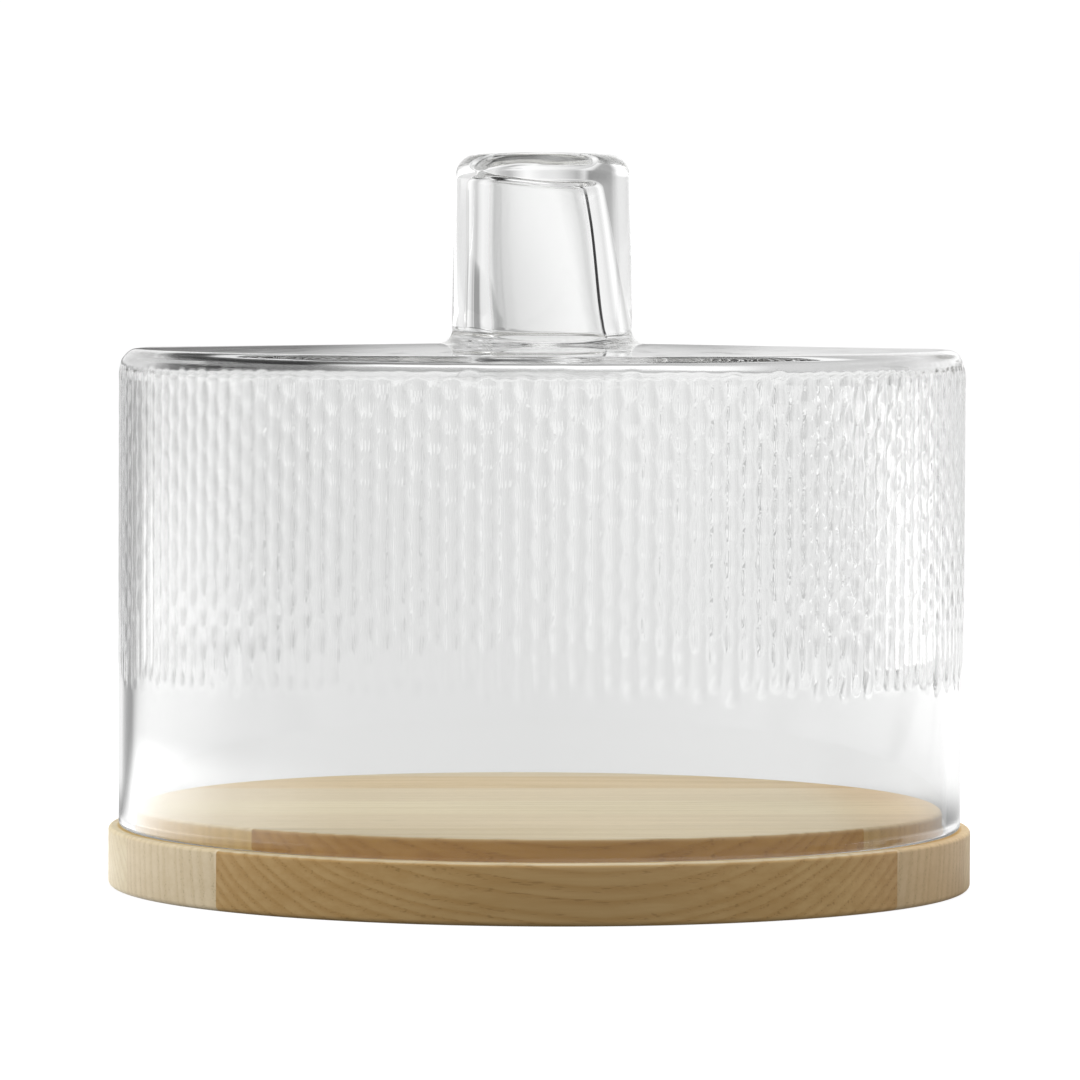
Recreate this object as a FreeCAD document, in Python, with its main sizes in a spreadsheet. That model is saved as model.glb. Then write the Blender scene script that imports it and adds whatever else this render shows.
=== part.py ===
"""Cake stand dome: a blown glass bell that stands on a turned, edge-glued ash board.

Millimetres, +Z up. The origin is the centre of the board's underside, and the grain of the
staves runs nearly along X. The bell is one piece of glass: its hollow handle is a bubble of
the same gather. The board is one panel of glued staves, turned on a lathe after gluing, so
every stave is a slab with the same turned edge.
"""

import FreeCAD, Part
import os

import Sketcher

PARTS_FOLDER = "parts"
FULL_TURN = 360.0
TOLERANCE = 0.01

DIMENSIONS = {
    # board, from the table up
    "board_radius": 160.0,
    "ledge_height": 22.0,
    "plateau_radius": 149.5,
    "plateau_height": 30.0,
    "foot_round": 2.0,
    "ledge_round": 1.5,
    "plateau_round": 1.5,
    # glued joints, measured across the grain from the board's centre
    "first_joint": -103.5,
    "stave_width": 58.0,
    "grain_turn": 3.7,
    "slab_spare": 5.0,
    # bell
    "bell_radius": 156.2,
    "bell_wall": 5.0,
    "bell_depth": 177.0,
    "top_wall": 5.5,
    "crown": 2.0,
    "shoulder_round": 8.0,
    "inner_shoulder_round": 5.0,
    "rim_round": 1.8,
    # handle
    "handle_foot_radius": 33.4,
    "handle_top_radius": 32.1,
    "handle_rise": 250.0,
    "handle_foot_round": 5.0,
    "handle_edge_round": 8.0,
    "hollow_mouth_radius": 24.0,
    "hollow_top_radius": 18.5,
    "handle_cap": 12.0,
    "hollow_mouth_round": 5.0,
    "hollow_end_round": 5.0,
}

STAVES = (
    "stave_front",
    "stave_second",
    "stave_third",
    "stave_fourth",
    "stave_fifth",
    "stave_back",
)

doc = FreeCAD.newDocument("cake_stand_dome")


def make_sheet(values):
    """Spreadsheet of the driving dimensions, one aliased cell each."""
    sheet = doc.addObject("Spreadsheet::Sheet", "Dimensions")
    for row, (alias, value) in enumerate(values.items(), start=1):
        sheet.set(f"A{row}", alias)
        sheet.set(f"B{row}", str(value))
        sheet.setAlias(f"B{row}", alias)
    doc.recompute()
    return sheet


def origin_plane(body, role):
    """One of a body's own origin planes, such as XY_Plane."""
    for feature in body.Origin.OriginFeatures:
        if feature.Role == role:
            return feature
    raise ValueError(f"{body.Label} has no {role}")


def make_body(label):
    body = doc.addObject("PartDesign::Body", label)
    body.Label = label
    return body


def outline_sketch(body, name, plane, corners):
    """Closed outline of straight edges. Each corner is (name, across, up), given as
    expressions of the sheet; an across of None keeps the corner on the upright axis."""
    sketch = body.newObject("Sketcher::SketchObject", name)
    sketch.AttachmentSupport = (origin_plane(body, plane), [""])
    sketch.MapMode = "FlatFace"
    places = []
    for _, across, up in corners:
        x = 0.0 if across is None else evaluate(sketch, across)
        places.append(FreeCAD.Vector(x, evaluate(sketch, up), 0))
    count = len(corners)
    for i in range(count):
        sketch.addGeometry(Part.LineSegment(places[i], places[(i + 1) % count]), False)
    for i in range(count):
        sketch.addConstraint(Sketcher.Constraint("Coincident", i, 2, (i + 1) % count, 1))
    for i, (corner, across, up) in enumerate(corners):
        if across is None:
            sketch.addConstraint(Sketcher.Constraint("PointOnObject", i, 1, -2))
        else:
            bind_distance(sketch, "DistanceX", i, places[i].x, f"{corner}_across", across)
        bind_distance(sketch, "DistanceY", i, places[i].y, f"{corner}_up", up)
    return sketch


def evaluate(sketch, expression):
    return float(sketch.evalExpression(expression))


def bind_distance(sketch, kind, edge, value, name, expression):
    """Signed distance of an edge's first point from the sketch's origin."""
    index = sketch.addConstraint(Sketcher.Constraint(kind, -1, 1, edge, 1, value))
    sketch.renameConstraint(index, name)
    sketch.setExpression(f"Constraints.{name}", expression)


def round_edges(body, name, radius_alias, places):
    """Rounds the circular edges about the upright axis at each (radius, height)."""
    doc.recompute()
    base = body.Tip
    chosen = []
    for radius, height in places:
        found = circle_edges(base.Shape, radius, height)
        if not found:
            raise ValueError(f"{name}: no circular edge at {radius:.2f}, {height:.2f}")
        chosen += found
    fillet = body.newObject("PartDesign::Fillet", name)
    fillet.Base = (base, chosen)
    fillet.setExpression("Radius", f"Dimensions.{radius_alias}")
    body.Tip = fillet
    doc.recompute()


def circle_edges(shape, radius, height):
    names = []
    for number, edge in enumerate(shape.Edges, start=1):
        if not isinstance(edge.Curve, Part.Circle):
            continue
        centre = edge.Curve.Center
        if (
            abs(edge.Curve.Radius - radius) < TOLERANCE
            and abs(centre.z - height) < TOLERANCE
            and abs(centre.x) + abs(centre.y) < TOLERANCE
        ):
            names.append(f"Edge{number}")
    return names


def make_stave(label, near, far):
    """One ash slab between two glued joints, with the board's turned edge and rebate.
    near and far are expressions for its two joint faces, across the grain."""
    body = make_body(label)
    reach = "(Dimensions.board_radius + Dimensions.slab_spare)"
    slab_sketch = outline_sketch(
        body,
        f"{label}_plan",
        "XY_Plane",
        [
            ("left_near", f"-{reach}", near),
            ("right_near", reach, near),
            ("right_far", reach, far),
            ("left_far", f"-{reach}", far),
        ],
    )
    slab = body.newObject("PartDesign::Pad", f"{label}_slab")
    slab.Profile = slab_sketch
    slab.setExpression("Length", "Dimensions.plateau_height")
    doc.recompute()
    slab_volume = slab.Shape.Volume

    beyond = "(2 * Dimensions.board_radius)"
    above = "(Dimensions.plateau_height + Dimensions.slab_spare)"
    waste_sketch = outline_sketch(
        body,
        f"{label}_waste",
        "XZ_Plane",
        [
            ("foot", "Dimensions.board_radius", "-Dimensions.slab_spare"),
            ("outside_low", beyond, "-Dimensions.slab_spare"),
            ("outside_high", beyond, above),
            ("top", "Dimensions.plateau_radius", above),
            ("rebate", "Dimensions.plateau_radius", "Dimensions.ledge_height"),
            ("ledge", "Dimensions.board_radius", "Dimensions.ledge_height"),
        ],
    )
    turning = body.newObject("PartDesign::Groove", f"{label}_turning")
    turning.Profile = waste_sketch
    turning.ReferenceAxis = (waste_sketch, ["V_Axis"])
    turning.Angle = FULL_TURN
    body.Tip = turning
    doc.recompute()
    if turning.Shape.Volume >= slab_volume:
        raise ValueError(f"{label}: the turning cut nothing")

    size = dimensions
    round_edges(body, f"{label}_foot_round", "foot_round", [(size["board_radius"], 0.0)])
    round_edges(
        body,
        f"{label}_ledge_round",
        "ledge_round",
        [(size["board_radius"], size["ledge_height"])],
    )
    round_edges(
        body,
        f"{label}_plateau_round",
        "plateau_round",
        [(size["plateau_radius"], size["plateau_height"])],
    )
    body.Placement = FreeCAD.Placement(
        FreeCAD.Vector(0, 0, 0), FreeCAD.Rotation(FreeCAD.Vector(0, 0, 1), 0)
    )
    body.setExpression("Placement.Rotation.Angle", "Dimensions.grain_turn")
    return body


def make_board():
    """The six staves, from the front edge of the board to the back."""
    edge = "(Dimensions.board_radius + Dimensions.slab_spare)"
    joints = [
        f"Dimensions.first_joint + {number} * Dimensions.stave_width"
        for number in range(len(STAVES) - 1)
    ]
    faces = [f"-{edge}"] + joints + [edge]
    return [
        make_stave(label, near, far) for label, near, far in zip(STAVES, faces, faces[1:])
    ]


def make_bell():
    """Glass bell: wall, crowned top and hollow handle as one turned outline."""
    body = make_body("glass_dome")
    rim = "Dimensions.ledge_height"
    shoulder = f"({rim} + Dimensions.bell_depth)"
    handle_top = f"({rim} + Dimensions.handle_rise)"
    inside = "(Dimensions.bell_radius - Dimensions.bell_wall)"
    profile = outline_sketch(
        body,
        "bell_profile",
        "XZ_Plane",
        [
            ("rim_inner", inside, rim),
            ("rim_outer", "Dimensions.bell_radius", rim),
            ("shoulder", "Dimensions.bell_radius", shoulder),
            ("handle_foot", "Dimensions.handle_foot_radius", f"{shoulder} + Dimensions.crown"),
            ("handle_edge", "Dimensions.handle_top_radius", handle_top),
            ("handle_centre", None, handle_top),
            ("hollow_centre", None, f"{handle_top} - Dimensions.handle_cap"),
            (
                "hollow_end",
                "Dimensions.hollow_top_radius",
                f"{handle_top} - Dimensions.handle_cap",
            ),
            (
                "hollow_mouth",
                "Dimensions.hollow_mouth_radius",
                f"{shoulder} + Dimensions.crown - Dimensions.top_wall",
            ),
            ("inner_shoulder", inside, f"{shoulder} - Dimensions.top_wall"),
        ],
    )
    blown = body.newObject("PartDesign::Revolution", "bell_blown")
    blown.Profile = profile
    blown.ReferenceAxis = (profile, ["V_Axis"])
    blown.Angle = FULL_TURN
    body.Tip = blown

    size = dimensions
    rim_height = size["ledge_height"]
    shoulder_height = rim_height + size["bell_depth"]
    handle_height = rim_height + size["handle_rise"]
    inner_radius = size["bell_radius"] - size["bell_wall"]
    under_top = shoulder_height - size["top_wall"]
    rounds = [
        ("rim_round", [(inner_radius, rim_height), (size["bell_radius"], rim_height)]),
        ("shoulder_round", [(size["bell_radius"], shoulder_height)]),
        ("inner_shoulder_round", [(inner_radius, under_top)]),
        (
            "handle_foot_round",
            [(size["handle_foot_radius"], shoulder_height + size["crown"])],
        ),
        ("handle_edge_round", [(size["handle_top_radius"], handle_height)]),
        (
            "hollow_mouth_round",
            [(size["hollow_mouth_radius"], under_top + size["crown"])],
        ),
        (
            "hollow_end_round",
            [(size["hollow_top_radius"], handle_height - size["handle_cap"])],
        ),
    ]
    for alias, places in rounds:
        round_edges(body, f"bell_{alias}", alias, places)
    return body


def check_document(bodies):
    """Stops on any failed feature and on any shape that isn't one sound solid."""
    for item in doc.Objects:
        if {"Invalid", "Error"} & set(item.State):
            raise RuntimeError(f"{item.Label} failed: {item.State}")
    for body in bodies:
        shape = body.Shape
        if shape.isNull() or not shape.isValid() or len(shape.Solids) != 1:
            raise RuntimeError(f"{body.Label} isn't one valid solid")


sheet = make_sheet(DIMENSIONS)
dimensions = {alias: float(sheet.get(alias)) for alias in DIMENSIONS}
bodies = make_board() + [make_bell()]
doc.recompute()
check_document(bodies)
os.makedirs(PARTS_FOLDER, exist_ok=True)
for body in bodies:
    body.Shape.exportStep(os.path.join(PARTS_FOLDER, f"{body.Label}.step"))
    box = body.Shape.BoundBox
    print(
        f"{body.Label}: {body.Shape.Volume / 1000:.1f} cm3, "
        f"z {box.ZMin:.2f} to {box.ZMax:.2f}"
    )
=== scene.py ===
"""Cake stand dome: blown glass bell on a glued and turned ash board, in a bright studio.

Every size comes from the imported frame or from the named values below, in metres.
The bell and each stave are rebuilt here as finer meshes in the place of their CAD nodes.
"""

import math
from collections import namedtuple

import bmesh
import bpy
import numpy as np
from mathutils import Matrix, Vector


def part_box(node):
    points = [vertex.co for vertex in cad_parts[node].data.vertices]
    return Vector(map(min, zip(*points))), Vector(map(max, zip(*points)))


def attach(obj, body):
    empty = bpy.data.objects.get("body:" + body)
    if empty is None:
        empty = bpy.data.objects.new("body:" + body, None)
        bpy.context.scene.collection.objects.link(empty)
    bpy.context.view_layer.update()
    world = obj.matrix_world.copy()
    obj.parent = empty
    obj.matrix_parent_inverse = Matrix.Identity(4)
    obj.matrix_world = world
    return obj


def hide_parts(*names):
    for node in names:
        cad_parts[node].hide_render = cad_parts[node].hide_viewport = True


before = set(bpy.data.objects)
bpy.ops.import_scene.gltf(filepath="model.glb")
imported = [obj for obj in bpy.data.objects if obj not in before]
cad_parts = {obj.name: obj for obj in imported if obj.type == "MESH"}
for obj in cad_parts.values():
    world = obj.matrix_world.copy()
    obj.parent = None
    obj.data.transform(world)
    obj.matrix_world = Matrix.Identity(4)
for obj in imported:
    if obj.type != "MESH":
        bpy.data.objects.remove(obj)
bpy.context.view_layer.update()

MM = 0.001
TAU = 2 * math.pi
BOARD_BODY = "board"
DOME_BODY = "dome"
DOME_NODE = "glass_dome"
STAVES = ("stave_front", "stave_second", "stave_third", "stave_fourth", "stave_fifth", "stave_back")

# ---------------------------------------------------------------- sizes read from the frame
bell_low, bell_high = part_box(DOME_NODE)
RIM_Z = bell_low.z
TOP_Z = bell_high.z
BELL_R = (bell_high.x - bell_low.x) / 2
BOARD_R = max(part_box(n)[1].x for n in STAVES)
PLATEAU_Z = max(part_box(n)[1].z for n in STAVES)

# ---------------------------------------------------------------- shape of the glass bell
WALL = 5.0 * MM
INNER_R = BELL_R - WALL
BELL_DEPTH = 177.0 * MM
SHOULDER_Z = RIM_Z + BELL_DEPTH
CROWN = 2.0 * MM
TOP_WALL = 4.0 * MM
SHOULDER_ROUND_LEFT = 8.5 * MM
SHOULDER_ROUND_RIGHT = 6.0 * MM
INNER_SHOULDER_ROUND = 5.0 * MM
RIM_ROUND = 1.8 * MM
HANDLE_FOOT_R = 33.4 * MM
HANDLE_TOP_R = 32.1 * MM
HANDLE_FOOT_ROUND = 5.0 * MM
HANDLE_EDGE_ROUND = 8.0 * MM
HANDLE_CAP = 10.4 * MM
HOLLOW_MOUTH_R = 21.4 * MM
HOLLOW_TOP_R = 16.6 * MM
HOLLOW_MOUTH_ROUND = 5.0 * MM
HOLLOW_END_ROUND = 3.0 * MM
HOLLOW_MOUTH_SHIFT = 2.0 * MM
HOLLOW_TOP_SHIFT = -2.2 * MM
HOLLOW_END_TILT = 1.2 * MM
HANDLE_SWAY = 0.2 * MM
SWAY_LENGTH = 14.0 * MM
HANDLE_CROWN = 1.2 * MM
TOP_TILT = 0.5 * MM
TILT_STARTS = 30.0 * MM  # below the shoulder
CEILING_UNEVEN = 0.045 * MM
SHOULDER_PULL = 0.42
SEAM_Z = RIM_Z + 174.6 * MM
SEAM_DEPTH = 0.25 * MM
SEAM_HALF_WIDTH = 0.55 * MM

# The relief on the outer wall: upright columns of long grains, each half a grain out of step with
# the next. It stands proudest on the right, and its grains run together and fade at the bottom.
COLUMNS = 156
GRAIN_LENGTH = 12.6 * MM
GRAIN_WIDTH = 0.56  # half of it, in column widths
GRAIN_WAIST = 0.09
GRAIN_SWELL = 0.14
RELIEF = 0.62 * MM
RELIEF_TO_RIGHT = 0.45
BAND_TOP = RIM_Z + 171.2 * MM
BAND_BOTTOM = RIM_Z + 56.5 * MM
TOP_FADE = 3.0 * MM
BOTTOM_FADE = (-3.0 * MM, 7.0 * MM)
BOTTOM_CALM = (-4.0 * MM, 28.0 * MM)
DRIFT_LENGTH = 61.0 * MM
SEGMENTS_PER_COLUMN = 6
WALL_SEGMENTS = COLUMNS * SEGMENTS_PER_COLUMN
SMOOTH_SEGMENTS = WALL_SEGMENTS // 3
CAP_SEGMENTS = SMOOTH_SEGMENTS // 3
CAP_R = 8.0 * MM
WALL_REACH = 4.0 * MM
BAND_STEP = GRAIN_LENGTH / 8
INNER_STEP = 2.5 * MM

# ---------------------------------------------------------------- shape of the board
LEDGE_Z = RIM_Z
PLATEAU_R = 149.5 * MM
FOOT_ROUND = 2.0 * MM
LEDGE_ROUND = 1.5 * MM
PLATEAU_ROUND = 1.2 * MM
BOARD_SEGMENTS = 360
GRAIN_TURN = math.radians(3.7)
FIRST_JOINT = -103.5 * MM
STAVE_WIDTH = 58.0 * MM


# ================================================================ mesh helpers
def rounded_outline(corners, arc_steps=8):
    """Outline through (r, z, radius) corners, with each corner of a radius turned into an arc."""
    points = []
    for i, (r, z, radius) in enumerate(corners):
        here = np.array([r, z])
        if radius == 0 or i in (0, len(corners) - 1):
            points.append(here)
            continue
        back = np.array(corners[i - 1][:2]) - here
        ahead = np.array(corners[i + 1][:2]) - here
        back /= np.linalg.norm(back)
        ahead /= np.linalg.norm(ahead)
        half = math.acos(np.clip(back @ ahead, -1, 1)) / 2
        bisector = (back + ahead) / np.linalg.norm(back + ahead)
        centre = here + bisector * radius / math.sin(half)
        start = here + back * radius / math.tan(half)
        end = here + ahead * radius / math.tan(half)
        first = math.atan2(*(start - centre)[::-1])
        turn = (math.atan2(*(end - centre)[::-1]) - first + math.pi) % TAU - math.pi
        for k in range(arc_steps + 1):
            angle = first + turn * k / arc_steps
            points.append(centre + radius * np.array([math.cos(angle), math.sin(angle)]))
    return np.array(points)


def filled_in(points, step):
    """The same outline with its long straight stretches divided, about step apart."""
    out = [points[0]]
    for a, b in zip(points, points[1:]):
        parts = max(1, round(np.linalg.norm(b - a) / step))
        out += [a + (b - a) * k / parts for k in range(1, parts + 1)]
    return np.array(out)


def bridge(faces, ring, other):
    """Faces between two rings of vertices, where one may have a whole multiple of the other's count."""
    n, m = len(ring), len(other)
    if n == m:
        for j in range(n):
            k = (j + 1) % n
            faces.append((ring[j], ring[k], other[k], other[j]))
        return
    ratio = max(n, m) // min(n, m)
    for j in range(min(n, m)):
        k = (j + 1) % min(n, m)
        for s in range(ratio):
            fine = (ratio * j + s) % max(n, m)
            after = (fine + 1) % max(n, m)
            if n > m:
                faces.append((ring[fine], ring[after], other[j]))
            else:
                faces.append((ring[j], other[after], other[fine]))
        if n > m:
            faces.append((ring[(ratio * (j + 1)) % n], other[k], other[j]))
        else:
            faces.append((ring[j], ring[k], other[(ratio * (j + 1)) % m]))


def mesh_object(name, vertices, faces, smooth=True):
    mesh = bpy.data.meshes.new(name)
    mesh.from_pydata([tuple(v) for v in vertices], [], faces)
    mesh.validate()
    mesh.polygons.foreach_set("use_smooth", [smooth] * len(mesh.polygons))
    obj = bpy.data.objects.new(name, mesh)
    bpy.context.scene.collection.objects.link(obj)
    return obj


def smoothstep(low, high, x):
    t = np.clip((x - low) / (high - low), 0, 1)
    return t * t * (3 - 2 * t)


# ================================================================ glass bell
rng = np.random.default_rng(7)
column_phase = rng.uniform(-0.08, 0.08, COLUMNS)
column_height = rng.uniform(0.85, 1.1, COLUMNS)
column_top = rng.uniform(-1.0, 1.0, COLUMNS) * MM
column_bottom = rng.uniform(-2.0, 2.0, COLUMNS) * MM
column_drift = rng.uniform(-0.05, 0.05, COLUMNS)


def relief(theta, z):
    """Height of the relief at an angle and a height: the tallest of the grains of the nearest columns."""
    across = (theta / TAU * COLUMNS) % COLUMNS
    nearest = np.floor(across + 0.5).astype(int)
    tallest = np.zeros_like(across)
    for shift in (-1, 0, 1):
        column = (nearest + shift) % COLUMNS
        along = z / GRAIN_LENGTH + 0.5 * (column % 2) + column_phase[column]
        drift = column_drift[column] * np.sin(TAU * z / DRIFT_LENGTH + column)
        offset = across - (nearest + shift) + drift
        top = BAND_TOP + column_top[column]
        bottom = BAND_BOTTOM + column_bottom[column] + (column % 2) * GRAIN_LENGTH / 4
        wave = np.cos(TAU * along) * smoothstep(bottom + BOTTOM_CALM[0], bottom + BOTTOM_CALM[1], z)
        half_width = GRAIN_WIDTH + GRAIN_WAIST * wave
        swell = 1 - GRAIN_SWELL + GRAIN_SWELL * wave
        below_top = smoothstep(top, top - TOP_FADE, z)
        above_bottom = smoothstep(bottom + BOTTOM_FADE[0], bottom + BOTTOM_FADE[1], z)
        inside = below_top * above_bottom
        ridge = (1 - (offset / half_width) ** 2) * swell * column_height[column] * inside
        tallest = np.maximum(tallest, ridge)
    return RELIEF * (1 + RELIEF_TO_RIGHT * np.cos(theta)) * tallest


def outer_outline():
    """Outer profile of the bell from the rim to the middle of the handle's top."""
    return rounded_outline(
        [
            (BELL_R - WALL / 2, RIM_Z, 0),
            (BELL_R, RIM_Z, RIM_ROUND),
            (BELL_R, SHOULDER_Z, SHOULDER_ROUND_RIGHT),
            (HANDLE_FOOT_R, SHOULDER_Z + CROWN, HANDLE_FOOT_ROUND),
            (HANDLE_TOP_R, TOP_Z - HANDLE_CROWN, HANDLE_EDGE_ROUND),
            (0, TOP_Z, 0),
        ]
    )


def inner_outline():
    """Inner profile of the bell from the end of the handle's hollow to the rim."""
    return rounded_outline(
        [
            (0, TOP_Z - HANDLE_CAP, 0),
            (HOLLOW_TOP_R, TOP_Z - HANDLE_CAP, HOLLOW_END_ROUND),
            (HOLLOW_MOUTH_R, SHOULDER_Z + CROWN - TOP_WALL, HOLLOW_MOUTH_ROUND),
            (INNER_R, SHOULDER_Z - TOP_WALL, INNER_SHOULDER_ROUND),
            (INNER_R, RIM_Z, RIM_ROUND),
            (BELL_R - WALL / 2, RIM_Z, 0),
        ]
    )


def lean(x, z):
    """How much higher the leaning top lies than a level one."""
    return TOP_TILT * x / BELL_R * smoothstep(SHOULDER_Z - TILT_STARTS, SHOULDER_Z, z)


def blown_outer(x, y, z):
    """Small uneven places of the outer surface: a top that leans and a handle that sways."""
    r = np.hypot(x, y)
    z = z + lean(x, z)
    above_foot = smoothstep(SHOULDER_Z + 6 * MM, SHOULDER_Z + 14 * MM, z)
    on_handle = above_foot * smoothstep(45 * MM, 36 * MM, r)
    sway = HANDLE_SWAY * np.sin((z - SHOULDER_Z) / SWAY_LENGTH + 2 * np.arctan2(y, x)) * on_handle
    shrink = 1 + sway * smoothstep(TOP_Z, TOP_Z - 12 * MM, z) / np.maximum(r, 10 * MM)
    return x * shrink, y * shrink, z


def blown_inner(x, y, z):
    """Uneven places of the inner surface: a hollow that leans and ends on a slant, and a wavy ceiling."""
    r = np.hypot(x, y)
    near = smoothstep(60 * MM, 26 * MM, r) * smoothstep(SHOULDER_Z - 12 * MM, SHOULDER_Z - 2 * MM, z)
    height = (z - SHOULDER_Z) / (TOP_Z - HANDLE_CAP - SHOULDER_Z)
    angle = np.arctan2(y, x)
    wobble = 0.25 * MM * np.sin(2 * angle + 3.0 * height) + 0.15 * MM * np.sin(3 * angle - 5.0 * height)
    wobble = wobble * near * smoothstep(2 * MM, 12 * MM, r)
    grown = 1 + wobble / np.maximum(r, 5 * MM)
    end = smoothstep(0.70, 1.0, height) * near
    ruffle = 0.5 * MM * np.sin(2 * angle + 0.8) * smoothstep(0, 12 * MM, r)
    slant = -HOLLOW_END_TILT * (x / HOLLOW_TOP_R) + ruffle
    under_top = smoothstep(SHOULDER_Z - 9 * MM, SHOULDER_Z - 5 * MM, z)
    on_ceiling = smoothstep(INNER_R + MM, INNER_R - 12 * MM, r) * under_top
    uneven = CEILING_UNEVEN * on_ceiling * (1 - near) * (
        np.sin(x / (5.1 * MM) + 1.3 * np.sin(y / (9 * MM)))
        + 0.8 * np.sin(x / (2.7 * MM) - y / (6.5 * MM) + 2.0)
        + 0.7 * np.sin(y / (7.3 * MM) + x / (17 * MM))
    )
    z = z + uneven
    shift = HOLLOW_MOUTH_SHIFT + (HOLLOW_TOP_SHIFT - HOLLOW_MOUTH_SHIFT) * np.clip(height, 0, 1)
    return x * grown + shift * near, y * grown, z + slant * end + lean(x, z)


def outer_ring(r, z, on_wall, count):
    """Points of one ring of the outer surface, with the relief, the seam and the rounder left shoulder."""
    theta = np.arange(count) / count * TAU
    radius = np.full(count, r)
    height = np.full(count, z)
    if on_wall:
        radius = radius + relief(theta, height)
    # on the left the shoulder is rounder: points near its corner are drawn in
    rounder = (1 - np.cos(theta)) / 2 * (SHOULDER_ROUND_LEFT - SHOULDER_ROUND_RIGHT)
    depth_in = np.clip((radius - (BELL_R - SHOULDER_ROUND_LEFT)) / SHOULDER_ROUND_LEFT, 0, 1)
    depth_up = np.clip((height - (SHOULDER_Z - SHOULDER_ROUND_LEFT)) / SHOULDER_ROUND_LEFT, 0, 1)
    pull = SHOULDER_PULL * rounder * (depth_in * depth_up) ** 2
    radius = radius - pull * depth_up
    height = height - pull * depth_in
    seam = SEAM_DEPTH * np.exp(-(((height - SEAM_Z) / SEAM_HALF_WIDTH) ** 2)) * (depth_in > 0)
    radius = radius - seam
    return blown_outer(radius * np.cos(theta), radius * np.sin(theta), height)


def inner_ring(r, z, count):
    theta = np.arange(count) / count * TAU
    return blown_inner(r * np.cos(theta), r * np.sin(theta), np.full(count, z))


def cap(vertices, faces, ring, pole, upward):
    """Closes a ring with a fan of triangles to its pole."""
    vertices.append(tuple(float(v) for v in pole))
    last = len(vertices) - 1
    for j in range(len(ring)):
        pair = (ring[j], ring[(j + 1) % len(ring)])
        faces.append((*pair, last) if upward else (*pair[::-1], last))


def build_bell():
    """The bell as one closed mesh: rings up the outer surface, then rings down the inner one."""
    vertices, faces = [], []

    def add_ring(points):
        first = len(vertices)
        vertices.extend(zip(*points))
        return list(range(first, first + len(points[0])))

    def smooth_count(r):
        return SMOOTH_SEGMENTS if r > CAP_R else CAP_SEGMENTS

    outer = []
    for r, z in filled_in(outer_outline(), BAND_STEP)[:-1]:
        on_wall = r > BELL_R - WALL_REACH and z > RIM_Z
        count = WALL_SEGMENTS if on_wall and z < SHOULDER_Z - MM else smooth_count(r)
        outer.append(add_ring(outer_ring(r, z, on_wall, count)))
    inner = []
    for r, z in filled_in(inner_outline(), INNER_STEP)[1:-1]:
        inner.append(add_ring(inner_ring(r, z, smooth_count(r))))
    for rings in (outer, inner):
        for a, b in zip(rings, rings[1:]):
            bridge(faces, a, b)
    bridge(faces, inner[-1], outer[0])
    cap(vertices, faces, outer[-1], (0, 0, TOP_Z), True)
    cap(vertices, faces, inner[0], blown_inner(0.0, 0.0, TOP_Z - HANDLE_CAP), False)
    return mesh_object("blown_glass_bell", vertices, faces)


# ================================================================ ash board
def build_board_blank():
    """The whole turned board as one mesh, which is then divided at its glued joints."""
    outline = rounded_outline(
        [
            (0, 0, 0),
            (BOARD_R, 0, FOOT_ROUND),
            (BOARD_R, LEDGE_Z, LEDGE_ROUND),
            (PLATEAU_R, LEDGE_Z, 0),
            (PLATEAU_R, PLATEAU_Z, PLATEAU_ROUND),
            (0, PLATEAU_Z, 0),
        ],
        arc_steps=6,
    )[1:-1]
    vertices, faces, rings = [], [], []
    for r, z in outline:
        theta = np.arange(BOARD_SEGMENTS) / BOARD_SEGMENTS * TAU
        first = len(vertices)
        vertices.extend(zip(r * np.cos(theta), r * np.sin(theta), np.full(BOARD_SEGMENTS, z)))
        rings.append(list(range(first, first + BOARD_SEGMENTS)))
    for a, b in zip(rings, rings[1:]):
        bridge(faces, a, b)
    faces.append(tuple(rings[0][::-1]))
    faces.append(tuple(rings[-1]))
    return vertices, faces


def build_stave(name, near, far, blank):
    """The part of the blank between two joint faces, near and far across the grain."""
    across = Vector((-math.sin(GRAIN_TURN), math.cos(GRAIN_TURN), 0))
    work = bmesh.new()
    made = [work.verts.new(v) for v in blank[0]]
    for face in blank[1]:
        work.faces.new([made[i] for i in face])
    for offset, direction in ((near, -across), (far, across)):
        if offset is None:
            continue
        everything = work.verts[:] + work.edges[:] + work.faces[:]
        bmesh.ops.bisect_plane(
            work, geom=everything, plane_co=across * offset, plane_no=direction, clear_outer=True
        )
        open_edges = [e for e in work.edges if e.is_boundary]
        bmesh.ops.holes_fill(work, edges=open_edges)
    bmesh.ops.recalc_face_normals(work, faces=work.faces[:])
    mesh = bpy.data.meshes.new(name)
    work.to_mesh(mesh)
    work.free()
    stave = bpy.data.objects.new(name, mesh)
    bpy.context.scene.collection.objects.link(stave)
    for polygon in mesh.polygons:
        polygon.use_smooth = True
    mesh.set_sharp_from_angle(angle=math.radians(35))
    return stave


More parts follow.
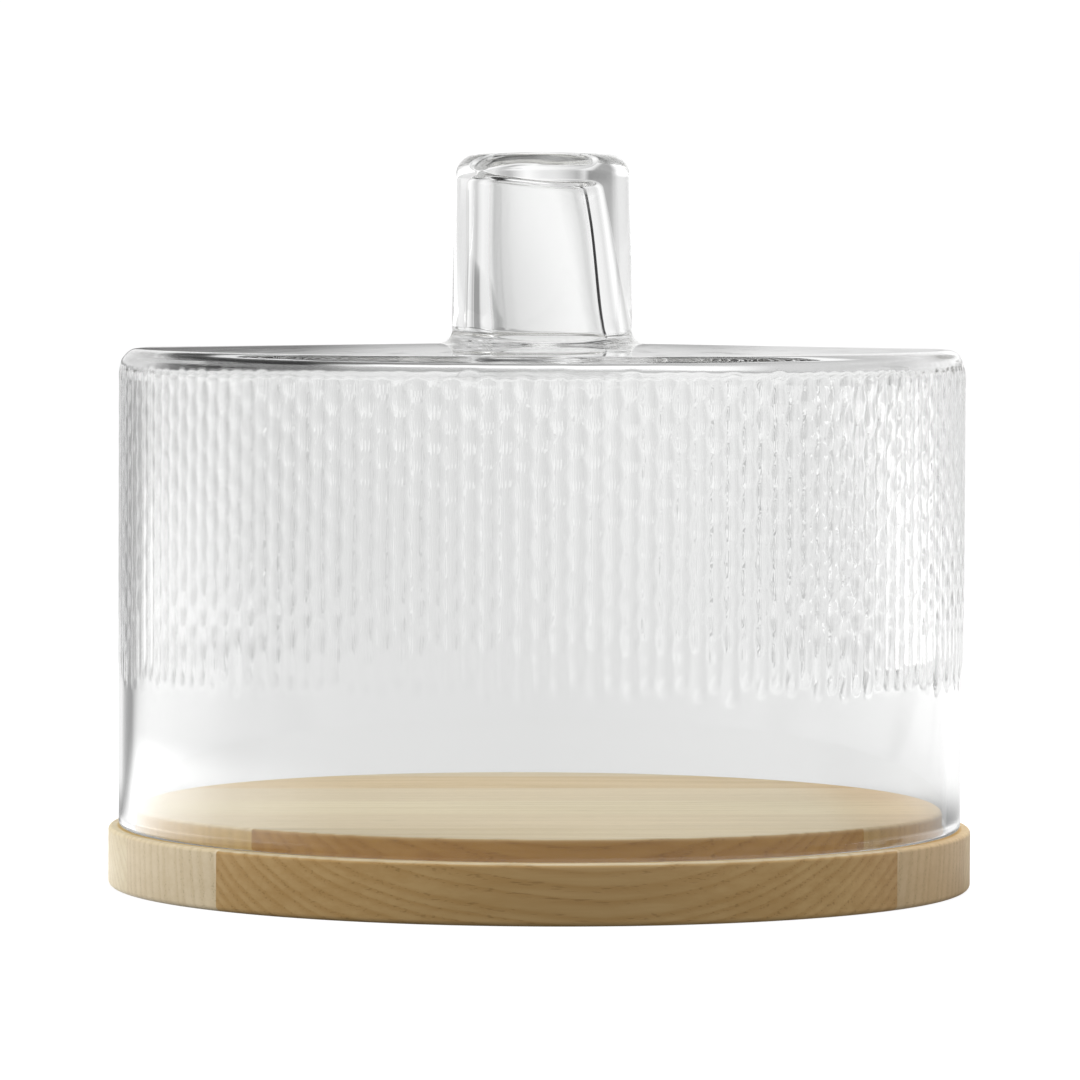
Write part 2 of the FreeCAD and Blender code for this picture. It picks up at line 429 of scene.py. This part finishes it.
# ================================================================ materials
class Nodes:
    """Short calls for building a node tree."""

    def __init__(self, tree):
        self.tree = tree
        tree.nodes.clear()

    def add(self, kind, **settings):
        node = self.tree.nodes.new(kind)
        for key, value in settings.items():
            setattr(node, key, value)
        return node

    def link(self, source, target):
        self.tree.links.new(source, target)

    def put(self, value, socket):
        if isinstance(value, bpy.types.NodeSocket):
            self.link(value, socket)
        else:
            socket.default_value = value

    def math(self, operation, *values):
        node = self.add("ShaderNodeMath", operation=operation)
        for value, socket in zip(values, node.inputs):
            self.put(value, socket)
        return node.outputs[0]

    def map(self, value, low, high, to_low=0.0, to_high=1.0):
        """Goes softly from to_low, where the value is low, to to_high, where it is high."""
        node = self.add("ShaderNodeMapRange", interpolation_type="SMOOTHSTEP")
        for item, socket in zip((value, low, high, to_low, to_high), node.inputs):
            self.put(item, socket)
        return node.outputs["Result"]

    def mix(self, factor, a, b, blend="MIX"):
        node = self.add("ShaderNodeMix", data_type="RGBA", blend_type=blend)
        self.put(factor, node.inputs[0])
        self.put(a, node.inputs[6])
        self.put(b, node.inputs[7])
        return node.outputs[2]

    def noise(self, vector, scale, detail=2.0, roughness=0.5):
        node = self.add("ShaderNodeTexNoise")
        self.put(vector, node.inputs["Vector"])
        self.put(scale, node.inputs["Scale"])
        self.put(detail, node.inputs["Detail"])
        self.put(roughness, node.inputs["Roughness"])
        return node.outputs["Fac"]

    def combine(self, x, y, z):
        node = self.add("ShaderNodeCombineXYZ")
        for value, socket in zip((x, y, z), node.inputs):
            self.put(value, socket)
        return node.outputs[0]

    def split(self, vector):
        node = self.add("ShaderNodeSeparateXYZ")
        self.link(vector, node.inputs[0])
        return node.outputs

    def scaled(self, place, scales, shifts=(0.0, 0.0, 0.0)):
        """A place with each of its parts scaled and then shifted, for a noise."""
        parts = [self.math("MULTIPLY", part, scale) for part, scale in zip(place, scales)]
        return self.combine(*(self.math("ADD", part, shift) for part, shift in zip(parts, shifts)))

    def length(self, x, y):
        return self.math("SQRT", self.math("ADD", self.math("MULTIPLY", x, x), self.math("MULTIPLY", y, y)))


def glass_material():
    material = bpy.data.materials.new("clear_blown_glass")
    material.use_nodes = True
    n = Nodes(material.node_tree)
    out = n.add("ShaderNodeOutputMaterial")
    glass = n.add("ShaderNodeBsdfPrincipled")
    glass.inputs["Base Color"].default_value = (0.935, 0.937, 0.935, 1)
    glass.inputs["Roughness"].default_value = 0.0
    glass.inputs["IOR"].default_value = 1.5
    glass.inputs["Transmission Weight"].default_value = 1.0
    passing = n.add("ShaderNodeBsdfTransparent")
    passing.inputs["Color"].default_value = (0.93, 0.94, 0.935, 1)
    path = n.add("ShaderNodeLightPath")
    mixed = n.add("ShaderNodeMixShader")
    n.link(path.outputs["Is Shadow Ray"], mixed.inputs[0])
    n.link(glass.outputs[0], mixed.inputs[1])
    n.link(passing.outputs[0], mixed.inputs[2])
    n.link(mixed.outputs[0], out.inputs["Surface"])
    return material


# Each stave is sawn from its own plank: where the heart of the tree lies from the stave's middle,
# across and up, the width of a year's growth, a seed, the colours of its late and early wood, and
# the painted light tint of its right end, for the light on the board's right end.
Plank = namedtuple("Plank", "heart_across heart_up year seed late early right_tint")
PALE_LATE = (0.66, 0.545, 0.375)
PALE_EARLY = (0.52, 0.41, 0.255)
DUSKY = (1.06, 0.92, 0.74)
ROSY = (1.03, 0.985, 1.03)
PLANKS = {
    "stave_front": Plank(
        -95 * MM, 118 * MM, 3.7 * MM, 1.0, (0.57, 0.375, 0.165), (0.42, 0.245, 0.085), ROSY
    ),
    "stave_second": Plank(-240 * MM, 30 * MM, 4.6 * MM, 2.0, PALE_LATE, PALE_EARLY, DUSKY),
    "stave_third": Plank(
        60 * MM, -85 * MM, 4.2 * MM, 3.0, (0.66, 0.565, 0.39), (0.54, 0.43, 0.26), DUSKY
    ),
    "stave_fourth": Plank(160 * MM, -70 * MM, 4.8 * MM, 4.0, PALE_LATE, PALE_EARLY, DUSKY),
    "stave_fifth": Plank(
        -40 * MM, -110 * MM, 4.0 * MM, 5.0, (0.63, 0.48, 0.28), (0.47, 0.33, 0.165), DUSKY
    ),
    "stave_back": Plank(220 * MM, 20 * MM, 4.4 * MM, 6.0, PALE_LATE, PALE_EARLY, DUSKY),
}
# noises of the wood, per metre along the grain, across it and up
WANDER_SCALE = (5.0, 11.0, 8.0)
FRAY_SCALE = (60.0, 420.0, 420.0)
FIBRE_SCALE = (16.0, 560.0, 560.0)
PORE_SCALE = (110.0, 1500.0, 1500.0)
STREAK_SCALE = (7.0, 150.0, 190.0)
CLOUD_SCALE = (6.0, 16.0, 30.0)
RING_WANDER = 14.0 * MM
RING_UNEVEN = 1.6  # years
RING_FRAY = 0.22  # years
EARLY_PEAK = 0.22  # of a year
EARLY_END = 0.80
WHITE_TINT = (1, 1, 1, 1)
LEFT_TINT = (0.99, 1.0, 1.0, 1)
RIGHT_END = (0.095, 0.14)  # metres along the grain
# painted shade towards the left of the front stave's side, and painted light on its top
FRONT_SHADED = (0.84, 0.84, 0.84, 1)
FRONT_SHADE_ENDS = (-0.12, 0.0)
FRONT_TOP_PAINTED_LIGHT = (1.20, 1.54, 2.45, 1)
# painted shade for the rebate under the dome
REBATE_PAINTED_SHADE_TINT = (0.84, 0.67, 0.35, 1)
WOOD_PAINTED_REFLECTION = (0.50, 0.50, 0.49, 1)


def growth_rings(n, place, plank, middle):
    """Years counted outwards from the heart, as the share of early wood at each place."""
    _, across, up = place
    seed = plank.seed
    slow = n.noise(n.scaled(place, WANDER_SCALE, (seed * 7.3, 0.0, 0.0)), 1.0, 2.0, 0.5)
    wander = n.math("MULTIPLY", n.math("SUBTRACT", slow, 0.5), RING_WANDER)
    from_heart_across = n.math("SUBTRACT", across, middle + plank.heart_across)
    from_heart_up = n.math("SUBTRACT", up, plank.heart_up)
    distance = n.math("ADD", n.length(from_heart_across, from_heart_up), wander)
    years = n.math("DIVIDE", distance, plank.year)
    uneven = n.noise(n.combine(years, seed * 3.1, 0.0), 0.6, 1.0)
    years = n.math("ADD", years, n.math("MULTIPLY", uneven, RING_UNEVEN))
    frayed = n.noise(n.scaled(place, FRAY_SCALE, (0.0, 0.0, seed)), 1.0, 2.0)
    ragged = n.math("MULTIPLY", n.math("SUBTRACT", frayed, 0.5), RING_FRAY)
    phase = n.math("FRACT", n.math("ADD", years, ragged))
    rising = n.map(phase, 0.0, EARLY_PEAK)
    falling = n.map(phase, EARLY_PEAK, EARLY_END, 1.0, 0.0)
    return n.math("MULTIPLY", rising, falling)


def wood_figure(n, place, plank, early, fibre, pores):
    """Colour of the bare wood: rings, fibres, streaks and pores over a cloudy ground."""
    seed = plank.seed
    streaks = n.noise(n.scaled(place, STREAK_SCALE, (seed * 5.0, 0.0, 0.0)), 1.0, 3.0, 0.6)
    streak = n.map(streaks, 0.38, 0.68)
    clouds = n.noise(n.scaled(place, CLOUD_SCALE, (seed, 0.0, 0.0)), 1.0, 2.0)
    cloud = n.map(clouds, 0.3, 0.7)
    strength = n.math("MULTIPLY", n.map(cloud, 0.0, 1.0, 0.30, 0.62), early)
    deep = tuple(0.80 * c for c in plank.late)
    dark = tuple(0.55 * c for c in plank.early)
    late_wood = n.mix(n.math("MULTIPLY", cloud, 0.45), (*plank.late, 1), (*deep, 1))
    ringed = n.mix(strength, late_wood, (*plank.early, 1))
    fibrous = n.mix(n.map(fibre, 0.35, 0.75, 0.0, 0.26), ringed, (*plank.early, 1))
    streaked = n.mix(n.math("MULTIPLY", streak, 0.42), fibrous, (*plank.early, 1))
    return n.mix(n.math("MULTIPLY", pores, 0.40), streaked, (*dark, 1))


def rebate_painted_shade(n, along, across, up):
    """The rebate under the dome, where painted shade darkens and warms the wood."""
    radius = n.length(along, across)
    outside = n.map(radius, PLATEAU_R - 2 * MM, PLATEAU_R - MM)
    below = n.map(up, PLATEAU_Z, PLATEAU_Z - 2 * MM)
    under_dome = n.map(radius, BELL_R + MM, BELL_R)
    return n.math("MULTIPLY", n.math("MULTIPLY", outside, below), under_dome)


def ash_material(node, middle):
    plank = PLANKS[node]
    material = bpy.data.materials.new("ash_" + node)
    material.use_nodes = True
    n = Nodes(material.node_tree)
    out = n.add("ShaderNodeOutputMaterial")
    wood = n.add("ShaderNodeBsdfPrincipled")
    n.link(wood.outputs[0], out.inputs["Surface"])

    turned = n.add("ShaderNodeVectorRotate", rotation_type="Z_AXIS")
    n.link(n.add("ShaderNodeTexCoord").outputs["Object"], turned.inputs["Vector"])
    turned.inputs["Angle"].default_value = -GRAIN_TURN
    place = n.split(turned.outputs[0])
    along, across, up = place

    early = growth_rings(n, place, plank, middle)
    fibre = n.noise(n.scaled(place, FIBRE_SCALE, (0.0, 0.0, plank.seed * 11.0)), 1.0, 3.0, 0.6)
    pore_noise = n.noise(n.scaled(place, PORE_SCALE), 1.0, 1.0, 0.4)
    pores = n.math("MULTIPLY", n.map(pore_noise, 0.56, 0.70), n.map(early, 0.1, 0.8))
    coloured = wood_figure(n, place, plank, early, fibre, pores)
    # painted light: the right end of every stave is tinted for the light that falls on the board's right end
    painted_end_light = n.mix(n.map(along, *RIGHT_END), LEFT_TINT, (*plank.right_tint, 1))
    coloured = n.mix(1.0, coloured, painted_end_light, "MULTIPLY")
    if node == "stave_front":
        # its side is painted shade that darkens towards the left, and its top is painted paler, a painted
        # light where light falls on it from above
        shaded = n.mix(n.map(along, *FRONT_SHADE_ENDS), FRONT_SHADED, WHITE_TINT)
        coloured = n.mix(1.0, coloured, shaded, "MULTIPLY")
        facing_up = n.split(n.add("ShaderNodeNewGeometry").outputs["Normal"])[2]
        painted_top_light = n.mix(n.map(facing_up, 0.5, 0.9), WHITE_TINT, FRONT_TOP_PAINTED_LIGHT)
        coloured = n.mix(1.0, coloured, painted_top_light, "MULTIPLY")
    # painted shade: the rebate under the dome is darkened and warmed
    rebate_shaded = n.mix(1.0, coloured, REBATE_PAINTED_SHADE_TINT, "MULTIPLY")
    coloured = n.mix(rebate_painted_shade(n, along, across, up), coloured, rebate_shaded)
    # where the wood is seen in reflections inside the glass its colour is painted grey, a painted reflection
    bounced = n.math("MINIMUM", n.add("ShaderNodeLightPath").outputs["Glossy Depth"], 1.0)
    colour = n.mix(n.math("MULTIPLY", bounced, 0.9), coloured, WOOD_PAINTED_REFLECTION)
    n.link(colour, wood.inputs["Base Color"])
    wood.inputs["Roughness"].default_value = 0.50
    wood.inputs["Specular IOR Level"].default_value = 0.40

    height = n.math("SUBTRACT", n.math("MULTIPLY", fibre, 0.35), n.math("MULTIPLY", pores, 0.8))
    bump = n.add("ShaderNodeBump")
    bump.inputs["Strength"].default_value = 0.30
    bump.inputs["Distance"].default_value = 0.15 * MM
    n.link(height, bump.inputs["Height"])
    n.link(bump.outputs[0], wood.inputs["Normal"])
    return material


# ================================================================ the object
bell = build_bell()
bell.data.materials.append(glass_material())
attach(bell, DOME_BODY)
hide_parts(DOME_NODE)

joints = [FIRST_JOINT + i * STAVE_WIDTH for i in range(len(STAVES) - 1)]
blank = build_board_blank()
for i, node in enumerate(STAVES):
    near = joints[i - 1] if i > 0 else None
    far = joints[i] if i < len(joints) else None
    stave = build_stave("ash_" + node, near, far, blank)
    middle = (near if near is not None else far - STAVE_WIDTH) + STAVE_WIDTH / 2
    stave.data.materials.append(ash_material(node, middle))
    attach(stave, BOARD_BODY)
    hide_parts(node)


# ================================================================ studio
CAMERA_DISTANCE = 2.6
CAMERA_HEIGHT = 0.2472
CAMERA_PITCH = 0.0458
CAMERA_ROLL = 0.0053
CAMERA_LENS = 233.69
CAMERA_SIDE = -0.0003
LIGHTS_AIM = 0.1


def add_camera():
    data = bpy.data.cameras.new("camera")
    data.sensor_width = 36.0
    data.lens = CAMERA_LENS
    data.clip_start = 0.05
    data.clip_end = 100
    camera = bpy.data.objects.new("camera", data)
    bpy.context.scene.collection.objects.link(camera)
    camera.matrix_world = (
        Matrix.Translation((CAMERA_SIDE, -CAMERA_DISTANCE, CAMERA_HEIGHT))
        @ Matrix.Rotation(math.pi / 2 - CAMERA_PITCH, 4, "X")
        @ Matrix.Rotation(CAMERA_ROLL, 4, "Z")
    )
    bpy.context.scene.camera = camera


# Brightness of the studio by direction around the object, in degrees from straight behind it
# (negative to its left), low down on the table and higher up on the backdrop. Both have a bright
# middle, a panel on each side and a dim front, and the backdrop a narrow black flag.
STUDIO_FRONT = 0.10
TABLE = (
    (-180, STUDIO_FRONT),
    (-103, 0.20),
    (-94, 0.40),
    (-84, 0.80),
    (-72, 0.94),
    (-54, 0.92),
    (-46, 0.84),
    (-40, 0.36),
    (-22.5, 0.34),
    (-19.5, 0.82),
    (-16, 0.48),
    (-10, 0.72),
    (-6, 0.86),
    (-3.4, 0.88),
    (0, 0.90),
    (3.4, 1.00),
    (6.5, 1.12),
    (10, 0.92),
    (15, 0.52),
    (19, 0.60),
    (24, 0.90),
    (36, 0.78),
    (54, 0.96),
    (72, 1.02),
    (82, 0.76),
    (92, 0.46),
    (105, 0.20),
    (180, STUDIO_FRONT),
)
BACKDROP = (
    (-180, STUDIO_FRONT),
    (-103, 0.20),
    (-94, 0.35),
    (-84, 0.60),
    (-72, 0.95),
    (-52, 1.02),
    (-40, 0.92),
    (-28, 0.66),
    (-18, 0.74),
    (-10, 0.91),
    (-4, 1.02),
    (0, 1.08),
    (5, 1.14),
    (12, 1.17),
    (18, 1.02),
    (30, 0.86),
    (44, 1.00),
    (61, 1.04),
    (62, 0.02),
    (69, 0.02),
    (70, 1.08),
    (78, 1.04),
    (86, 0.60),
    (94, 0.35),
    (103, 0.20),
    (180, STUDIO_FRONT),
)
RAMP_TOP = 2.0
# Above the backdrop, by the x and the z of the direction.
STUDIO_ABOVE_LEFT = 0.03
STUDIO_ABOVE_RIGHT = 0.70
ABOVE_ACROSS = (-0.4, 0.4)
ABOVE_STARTS = (0.25, 0.45)
STUDIO_ZENITH = 1.20
ZENITH_STARTS = (0.80, 0.92)
# The dim gap between table and backdrop, seen only in reflections, by the z of the direction. It
# is dimmer to the left and brighter to the right.
HORIZON_GAP = 0.60
GAP_CHANGE = 0.25
GAP_IN = (0.011, 0.020)
GAP_OUT = (0.030, 0.075)
GAP_LEFT = (-0.022, -0.036)
GAP_RIGHT = (0.022, 0.036)
# The front of the studio as seen through the glass.
FRONT_SEEN = 0.58
FRONT_STARTS = (-0.10, -0.30)
# The paper on the table just behind the board, in metres.
CLOSE_BEHIND = 0.90
CLOSE_STARTS = (0.25, 0.50)
CLOSE_ENDS = (2.10, 1.35)
CLOSE_LEFT = (-0.42, -0.30)
CLOSE_LEFT_FROM = -0.15
CLOSE_RISE_LEFT = -0.10
CLOSE_RISE_RIGHT = 0.45
# The white sheet on the table at the left: its reach by direction and by metres from the middle,
# and its brightness by how the glass shows it.
SHEET_TURN = (-0.62, -0.90)
SHEET_FORWARD = (-0.90, 0.10)
SHEET_ENDS = (2.5, 6.0)
SHEET_NEAR = (0.68, 0.90)
SHEET_BEYOND = (1.4, 2.2)
LEFT_SHEET = 0.26
LEFT_SHEET_MIRRORED = 1.50
LEFT_SHEET_BEYOND = 0.35
LEFT_SHEET_THROUGH = 0.30
# The shade close round the board, which only the bent light in the glass meets.
SHADE_ENDS = (0.60, 0.35)
SHADE_TURN = (-0.2, 0.3)
SHADE_LEFT = 0.50
SHADE_RIGHT = 0.92
TABLE_ENDS = (7.0, 26.0)
FLOOR_HALF = 60.0
FLOOR_ALBEDO = (0.22, 0.22, 0.22, 1)
FLOOR_GLOW = 0.88
WHITE_BACKGROUND = 1.05


def studio_level(n, x, y, profile):
    """Brightness of the studio in the direction of x and y."""
    turn = n.math("DIVIDE", n.math("ARCTAN2", x, y), TAU)
    place = n.math("ADD", turn, 0.5)
    ramp = n.add("ShaderNodeValToRGB")
    n.link(place, ramp.inputs[0])
    elements = ramp.color_ramp.elements
    while len(elements) > 1:
        elements.remove(elements[-1])
    for i, (degrees, level) in enumerate(profile):
        position = degrees / 360 + 0.5
        element = elements[0] if i == 0 else elements.new(position)
        element.position = position
        shade = level / RAMP_TOP
        element.color = (shade, shade, shade, 1)
    return n.math("MULTIPLY", ramp.outputs[0], RAMP_TOP)


def seen_in_front(n, y, path):
    """The front of the studio is dim where it is mirrored but light where it is seen through the glass."""
    return n.math("MULTIPLY", path.outputs["Is Transmission Ray"], n.map(y, *FRONT_STARTS, 0.0, FRONT_SEEN))


def blend(n, factor, a, b):
    rest = n.math("SUBTRACT", 1.0, factor)
    return n.math("ADD", n.math("MULTIPLY", a, rest), n.math("MULTIPLY", b, factor))


def world_level(n, direction, path):
    """Brightness of the studio beyond the table, in a direction."""
    x, y, z = n.split(direction)
    reflected = n.math("SUBTRACT", 1.0, path.outputs["Is Transmission Ray"])
    around = studio_level(n, x, y, BACKDROP)
    in_gap = n.math("MULTIPLY", n.map(z, *GAP_IN), n.map(z, *GAP_OUT, 1.0, 0.0))
    dimmer = n.map(x, *GAP_LEFT, HORIZON_GAP, HORIZON_GAP + GAP_CHANGE)
    strength = n.math("SUBTRACT", dimmer, n.map(x, *GAP_RIGHT, 0.0, GAP_CHANGE))
    gap = n.math("MULTIPLY", n.math("MULTIPLY", in_gap, reflected), strength)
    around = n.math("MULTIPLY", around, n.math("SUBTRACT", 1.0, gap))
    above = n.map(x, *ABOVE_ACROSS, STUDIO_ABOVE_LEFT, STUDIO_ABOVE_RIGHT)
    level = blend(n, n.map(z, *ABOVE_STARTS), around, above)
    level = blend(n, n.map(z, *ZENITH_STARTS), level, STUDIO_ZENITH)
    return n.math("ADD", level, seen_in_front(n, y, path))


def studio_world():
    world = bpy.data.worlds.new("studio")
    bpy.context.scene.world = world
    world.use_nodes = True
    n = Nodes(world.node_tree)
    out = n.add("ShaderNodeOutputWorld")
    path = n.add("ShaderNodeLightPath")
    studio = n.add("ShaderNodeBackground")
    studio.inputs["Color"].default_value = WHITE_TINT
    n.link(world_level(n, n.add("ShaderNodeTexCoord").outputs["Generated"], path), studio.inputs["Strength"])
    white = n.add("ShaderNodeBackground")
    white.inputs["Color"].default_value = WHITE_TINT
    white.inputs["Strength"].default_value = WHITE_BACKGROUND
    chosen = n.add("ShaderNodeMixShader")
    n.link(path.outputs["Is Camera Ray"], chosen.inputs[0])
    n.link(studio.outputs[0], chosen.inputs[1])
    n.link(white.outputs[0], chosen.inputs[2])
    n.link(chosen.outputs[0], out.inputs["Surface"])


def white_sheet(n, sideways, forward, far, path):
    """What the sheet at the left adds to the table."""
    reach = n.math("MULTIPLY", n.map(sideways, *SHEET_TURN), n.map(forward, *SHEET_FORWARD))
    reach = n.math("MULTIPLY", reach, n.map(far, *SHEET_ENDS, 1.0, 0.0))
    near = n.map(far, *SHEET_NEAR, LEFT_SHEET_MIRRORED, LEFT_SHEET)
    mirrored = n.math("ADD", near, n.map(far, *SHEET_BEYOND, 0.0, LEFT_SHEET_BEYOND))
    mirrored = n.math("MULTIPLY", mirrored, path.outputs["Is Glossy Ray"])
    # only the near wall of the glass mirrors it
    once = n.map(path.outputs["Transmission Depth"], 2.0, 3.0, 1.0, 0.0)
    mirrored = n.math("MULTIPLY", mirrored, once)
    through = n.math("MULTIPLY", path.outputs["Is Transmission Ray"], LEFT_SHEET_THROUGH)
    return n.math("MULTIPLY", reach, n.math("ADD", mirrored, through))


def floor_level(n, x, y, path):
    """Brightness of the table, and of the backdrop where it runs out into it, at a place in metres."""
    far = n.length(x, y)
    sideways = n.math("DIVIDE", x, far)
    forward = n.math("DIVIDE", y, far)
    sheet = white_sheet(n, sideways, forward, far, path)
    depth = n.map(sideways, *SHADE_TURN, SHADE_LEFT, SHADE_RIGHT)
    shade = n.math("MULTIPLY", n.map(far, *SHADE_ENDS, 0.0, depth), path.outputs["Is Transmission Ray"])
    on_table = n.math("ADD", studio_level(n, x, y, TABLE), sheet)
    on_table = n.math("MULTIPLY", on_table, n.math("SUBTRACT", 1.0, shade))
    close = n.math("MULTIPLY", n.map(y, *CLOSE_STARTS), n.map(y, *CLOSE_ENDS))
    from_left = n.math("DIVIDE", n.math("SUBTRACT", x, CLOSE_LEFT_FROM), y)
    close = n.math("MULTIPLY", close, n.map(from_left, *CLOSE_LEFT))
    rise_left = n.math("MULTIPLY", x, CLOSE_RISE_LEFT)
    rise = n.math("MAXIMUM", n.math("MULTIPLY", x, CLOSE_RISE_RIGHT), rise_left)
    on_table = blend(n, close, on_table, n.math("ADD", rise, CLOSE_BEHIND))
    level = blend(n, n.map(far, *TABLE_ENDS), on_table, studio_level(n, x, y, BACKDROP))
    return n.math("ADD", level, seen_in_front(n, forward, path))


def floor_material():
    """White paper for the camera, and the table of the studio for the glass."""
    material = bpy.data.materials.new("pale_floor")
    material.use_nodes = True
    n = Nodes(material.node_tree)
    out = n.add("ShaderNodeOutputMaterial")
    path = n.add("ShaderNodeLightPath")
    x, y, _ = n.split(n.add("ShaderNodeTexCoord").outputs["Object"])
    glow = n.add("ShaderNodeEmission")
    n.link(floor_level(n, x, y, path), glow.inputs["Strength"])
    lit = n.add("ShaderNodeBsdfDiffuse")
    lit.inputs["Color"].default_value = FLOOR_ALBEDO
    bright = n.add("ShaderNodeEmission")
    bright.inputs["Strength"].default_value = FLOOR_GLOW
    seen = n.add("ShaderNodeAddShader")
    n.link(lit.outputs[0], seen.inputs[0])
    n.link(bright.outputs[0], seen.inputs[1])
    chosen = n.add("ShaderNodeMixShader")
    n.link(path.outputs["Is Camera Ray"], chosen.inputs[0])
    n.link(glow.outputs[0], chosen.inputs[1])
    n.link(seen.outputs[0], chosen.inputs[2])
    n.link(chosen.outputs[0], out.inputs["Surface"])
    return material


def add_floor():
    h = FLOOR_HALF
    corners = [(-h, -h, 0), (h, -h, 0), (h, h, 0), (-h, h, 0)]
    floor = mesh_object("floor", corners, [(0, 1, 2, 3)], smooth=False)
    floor.data.materials.append(floor_material())


def softbox(name, azimuth, elevation, distance, width, height, watts):
    """Area light on the wood alone. Azimuth 0 is behind the object and 90 to its right, in degrees."""
    data = bpy.data.lights.new(name, "AREA")
    data.shape = "RECTANGLE"
    data.size = width
    data.size_y = height
    data.energy = watts
    light = bpy.data.objects.new(name, data)
    bpy.context.scene.collection.objects.link(light)
    a, e = math.radians(azimuth), math.radians(elevation)
    middle = Vector((0, 0, LIGHTS_AIM))
    offset = Vector((math.sin(a) * math.cos(e), math.cos(a) * math.cos(e), math.sin(e)))
    light.location = middle + offset * distance
    light.rotation_mode = "QUATERNION"
    light.rotation_quaternion = offset.to_track_quat("Z", "Y")
    light.visible_camera = False
    light.visible_glossy = False
    light.visible_transmission = False


add_camera()
studio_world()
add_floor()
softbox("top_softbox", 0, 80, 1.2, 0.9, 0.9, 12.5)
softbox("front_fill", 158, 10, 2.2, 1.6, 1.2, 15)
softbox("left_fill", -97, 15, 1.8, 1.0, 0.9, 26.5)

scene = bpy.context.scene
scene.view_settings.view_transform = "Standard"
# the glass bends and mirrors light many times inside itself
scene.cycles.max_bounces = 128
scene.cycles.transmission_bounces = 128
scene.cycles.glossy_bounces = 64
scene.cycles.transparent_max_bounces = 24
scene.cycles.caustics_reflective = False
